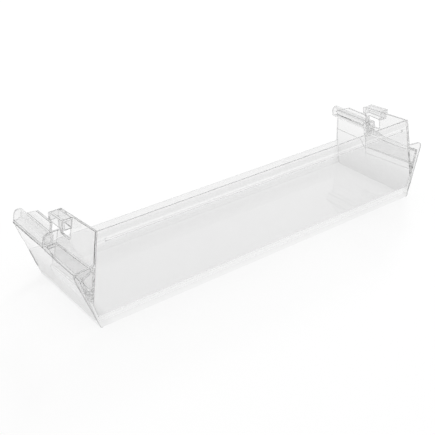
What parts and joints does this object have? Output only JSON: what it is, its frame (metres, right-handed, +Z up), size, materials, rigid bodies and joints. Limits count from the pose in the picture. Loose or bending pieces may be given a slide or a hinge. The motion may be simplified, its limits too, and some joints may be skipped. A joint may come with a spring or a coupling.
{
  "type": "fridge door shelf",
  "caption": "Clear moulded trough for a fridge door, with a tall leaning front panel, a low back lip, and flared ends that carry hooks and guide rails.",
  "frame": {"origin": "middle of the bounding box, on the plane of the flat foot", "axes": "+X along the shelf, the front panel faces -Y, +Z up"},
  "size_m": [0.471, 0.1366, 0.099],
  "materials": {
    "clear_plastic": "clear, polished"
  },
  "bodies": {
    "root": {"door_shelf": "clear_plastic"}
  },
  "joints": []
}
